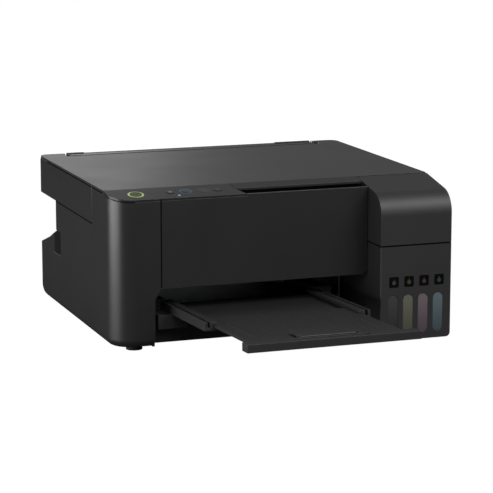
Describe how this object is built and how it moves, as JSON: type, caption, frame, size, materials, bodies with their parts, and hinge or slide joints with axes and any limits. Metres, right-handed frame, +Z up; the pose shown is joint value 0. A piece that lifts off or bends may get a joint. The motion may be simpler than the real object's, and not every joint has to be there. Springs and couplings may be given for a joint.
{
  "type": "inkjet printer",
  "caption": "Black ink-tank inkjet printer with a flatbed scanner under its lid, front tank unit with windows, rear paper feed and a pulled-out output tray.",
  "frame": {"origin": "centre of the bounding box at floor level with the output tray pulled out", "axes": "+Z up, +Y to the rear where paper goes in, +X to the ink tank side as seen from the front"},
  "size_m": [0.375, 0.5494, 0.1792],
  "materials": {
    "case_plastic": "fine-grained black ABS",
    "base_plastic": "plain black ABS",
    "foot_rubber": "matt black rubber",
    "panel_plastic": "satin black ABS",
    "light_ring": "lit translucent acrylic",
    "key_plastic": "satin black ABS",
    "window_plastic": "smoked clear polystyrene",
    "ink_black": "translucent tank full of black ink",
    "ink_yellow": "translucent tank full of yellow ink",
    "ink_magenta": "translucent tank full of magenta ink",
    "ink_cyan": "translucent tank full of cyan ink",
    "cap_plastic": "black polypropylene",
    "tube_plastic": "milky elastomer tube",
    "bright_steel": "ground steel",
    "scan_glass": "clear float glass",
    "inner_plastic": "black engineering plastic",
    "lid_plastic": "fine-textured satin black ABS",
    "white_pad": "white foam pad",
    "feeder_plastic": "plain black ABS",
    "roller_rubber": "grey feed rubber",
    "frame_steel": "zinc-plated sheet steel",
    "head_steel": "steel nozzle plate",
    "belt_rubber": "toothed rubber belt",
    "pulley_plastic": "natural acetal",
    "motor_steel": "plated motor can",
    "board": "green circuit board",
    "tray_plastic": "fine-grained black ABS"
  },
  "bodies": {
    "chassis": {"main_case": "case_plastic", "base_pan": "base_plastic", "rubber_feet": "foot_rubber", "front_panel": "case_plastic", "control_panel": "panel_plastic", "power_ring": "light_ring", "tank_housing": "case_plastic", "tank_windows": "window_plastic", "ink_tank_black": "ink_black", "ink_tank_yellow": "ink_yellow", "ink_tank_magenta": "ink_magenta", "ink_tank_cyan": "ink_cyan", "ink_tubes": "tube_plastic", "feeder_housing": "feeder_plastic", "paper_guide": "inner_plastic", "engine_frame": "frame_steel", "guide_rod": "bright_steel", "carriage_belt": "belt_rubber", "carriage_motor": "motor_steel", "star_wheel_bar": "inner_plastic", "platen": "inner_plastic", "feed_motor": "motor_steel", "feed_belts": "belt_rubber", "cap_station": "inner_plastic", "main_board": "board", "power_supply": "inner_plastic", "power_inlet": "key_plastic"},
    "power_button": {"power_button": "key_plastic"},
    "network_key": {"network_key": "key_plastic"},
    "copy_key": {"copy_key": "key_plastic"},
    "stop_key": {"stop_key": "key_plastic"},
    "tank_cover": {"tank_cover": "case_plastic"},
    "cap_black": {"tank_cap_black": "cap_plastic"},
    "cap_yellow": {"tank_cap_yellow": "cap_plastic"},
    "cap_magenta": {"tank_cap_magenta": "cap_plastic"},
    "cap_cyan": {"tank_cap_cyan": "cap_plastic"},
    "scanner_unit": {"scanner_housing": "case_plastic", "scan_rod": "bright_steel", "scanner_bezel": "panel_plastic", "scan_glass": "scan_glass"},
    "scan_bar": {"scan_carriage": "inner_plastic"},
    "lid": {"lid_shell": "lid_plastic", "lid_pad": "white_pad"},
    "paper_support": {"paper_support": "feeder_plastic"},
    "feeder_guard": {"feeder_guard": "feeder_plastic"},
    "guide_left": {"edge_guide_left": "feeder_plastic"},
    "guide_right": {"edge_guide_right": "feeder_plastic"},
    "pickup": {"pickup_roller": "roller_rubber"},
    "carriage": {"print_carriage": "inner_plastic", "print_head": "head_steel"},
    "drive_pulley": {"drive_pulley": "pulley_plastic"},
    "idler_pulley": {"idler_pulley": "pulley_plastic"},
    "feed": {"feed_roller": "bright_steel"},
    "motor_pulley": {"motor_pulley": "pulley_plastic"},
    "exit": {"exit_roller": "roller_rubber"},
    "pinch": {"pinch_rollers": "pulley_plastic"},
    "tray": {"tray_main": "tray_plastic"},
    "extension": {"tray_extension": "tray_plastic"},
    "stopper": {"tray_stopper": "tray_plastic"}
  },
  "joints": [
    {"name": "scanner_lift", "type": "hinge", "parent": "chassis", "child": "scanner_unit", "pos_m": [0, 0.24325, 0.168], "axis": [-1, 0, 0], "range_deg": [0, 20]},
    {"name": "lid_hinge", "type": "hinge", "parent": "scanner_unit", "child": "lid", "pos_m": [0, 0.27175, 0.176], "axis": [-1, 0, 0], "range_deg": [0, 65]},
    {"name": "scan_slide", "type": "slide", "parent": "scanner_unit", "child": "scan_bar", "axis": [1, 0, 0], "range_m": [0, 0.29]},
    {"name": "tank_cover_hinge", "type": "hinge", "parent": "chassis", "child": "tank_cover", "pos_m": [0.14575, -0.01775, 0.169], "axis": [-1, 0, 0], "range_deg": [0, 80]},
    {"name": "cap_black_hinge", "type": "hinge", "parent": "chassis", "child": "cap_black", "pos_m": [0.119, -0.01225, 0.1135], "axis": [-1, 0, 0], "range_deg": [0, 95]},
    {"name": "cap_yellow_hinge", "type": "hinge", "parent": "chassis", "child": "cap_yellow", "pos_m": [0.1368, -0.01225, 0.1135], "axis": [-1, 0, 0], "range_deg": [0, 95]},
    {"name": "cap_magenta_hinge", "type": "hinge", "parent": "chassis", "child": "cap_magenta", "pos_m": [0.1546, -0.01225, 0.1135], "axis": [-1, 0, 0], "range_deg": [0, 95]},
    {"name": "cap_cyan_hinge", "type": "hinge", "parent": "chassis", "child": "cap_cyan", "pos_m": [0.1724, -0.01225, 0.1135], "axis": [-1, 0, 0], "range_deg": [0, 95]},
    {"name": "power_press", "type": "slide", "parent": "chassis", "child": "power_button", "axis": [0, 0.1939, -0.981], "range_m": [0, 0.0008], "stiffness_N_per_m": 800},
    {"name": "network_press", "type": "slide", "parent": "chassis", "child": "network_key", "axis": [0, 0.1939, -0.981], "range_m": [0, 0.0006], "stiffness_N_per_m": 600},
    {"name": "copy_press", "type": "slide", "parent": "chassis", "child": "copy_key", "axis": [0, 0.1939, -0.981], "range_m": [0, 0.0006], "stiffness_N_per_m": 600},
    {"name": "stop_press", "type": "slide", "parent": "chassis", "child": "stop_key", "axis": [0, 0.1939, -0.981], "range_m": [0, 0.0006], "stiffness_N_per_m": 600},
    {"name": "support_slide", "type": "slide", "parent": "chassis", "child": "paper_support", "axis": [0, 0.4226, 0.9063], "range_m": [0, 0.085]},
    {"name": "guard_hinge", "type": "hinge", "parent": "chassis", "child": "feeder_guard", "pos_m": [0, 0.26025, 0.1772], "axis": [1, 0, 0], "range_deg": [0, 85]},
    {"name": "guide_left_slide", "type": "slide", "parent": "chassis", "child": "guide_left", "axis": [1, 0, 0], "range_m": [0, 0.055]},
    {"name": "guide_right_slide", "type": "slide", "parent": "chassis", "child": "guide_right", "axis": [1, 0, 0], "range_m": [-0.055, 0]},
    {"name": "pickup_spin", "type": "hinge", "parent": "chassis", "child": "pickup", "pos_m": [0, 0.21775, 0.1078], "axis": [1, 0, 0], "continuous": true},
    {"name": "carriage_slide", "type": "slide", "parent": "chassis", "child": "carriage", "axis": [-1, 0, 0], "range_m": [0, 0.25]},
    {"name": "drive_spin", "type": "hinge", "parent": "chassis", "child": "drive_pulley", "pos_m": [0.165, 0.14825, 0.118], "axis": [0, 1, 0], "continuous": true},
    {"name": "idler_spin", "type": "hinge", "parent": "chassis", "child": "idler_pulley", "pos_m": [-0.1635, 0.14825, 0.118], "axis": [0, 1, 0], "continuous": true},
    {"name": "feed_spin", "type": "hinge", "parent": "chassis", "child": "feed", "pos_m": [0, 0.11925, 0.064], "axis": [1, 0, 0], "continuous": true},
    {"name": "motor_spin", "type": "hinge", "parent": "chassis", "child": "motor_pulley", "pos_m": [-0.158, 0.13925, 0.036], "axis": [1, 0, 0], "continuous": true},
    {"name": "exit_spin", "type": "hinge", "parent": "chassis", "child": "exit", "pos_m": [0, 0.04625, 0.0635], "axis": [1, 0, 0], "continuous": true},
    {"name": "pinch_spin", "type": "hinge", "parent": "chassis", "child": "pinch", "pos_m": [0, 0.11925, 0.0738], "axis": [1, 0, 0], "continuous": true},
    {"name": "tray_slide", "type": "slide", "parent": "chassis", "child": "tray", "axis": [0, 0.9987, -0.0506], "range_m": [0, 0.1245]},
    {"name": "extension_slide", "type": "slide", "parent": "tray", "child": "extension", "axis": [0, 0.9987, -0.0506], "range_m": [0, 0.1145]},
    {"name": "stopper_hinge", "type": "hinge", "parent": "extension", "child": "stopper", "pos_m": [-0.03, -0.25437, 0.06511], "axis": [1, 0, 0], "range_deg": [0, 95]}
  ],
  "couplings": [
    {"joint": "guide_right_slide", "follows": "guide_left_slide", "ratio": -1},
    {"joint": "drive_spin", "follows": "carriage_slide", "rad_per_m": 166.67},
    {"joint": "idler_spin", "follows": "carriage_slide", "rad_per_m": 166.67},
    {"joint": "motor_spin", "follows": "feed_spin", "ratio": 3},
    {"joint": "exit_spin", "follows": "feed_spin", "ratio": 1},
    {"joint": "pinch_spin", "follows": "feed_spin", "ratio": -1.7143}
  ]
}
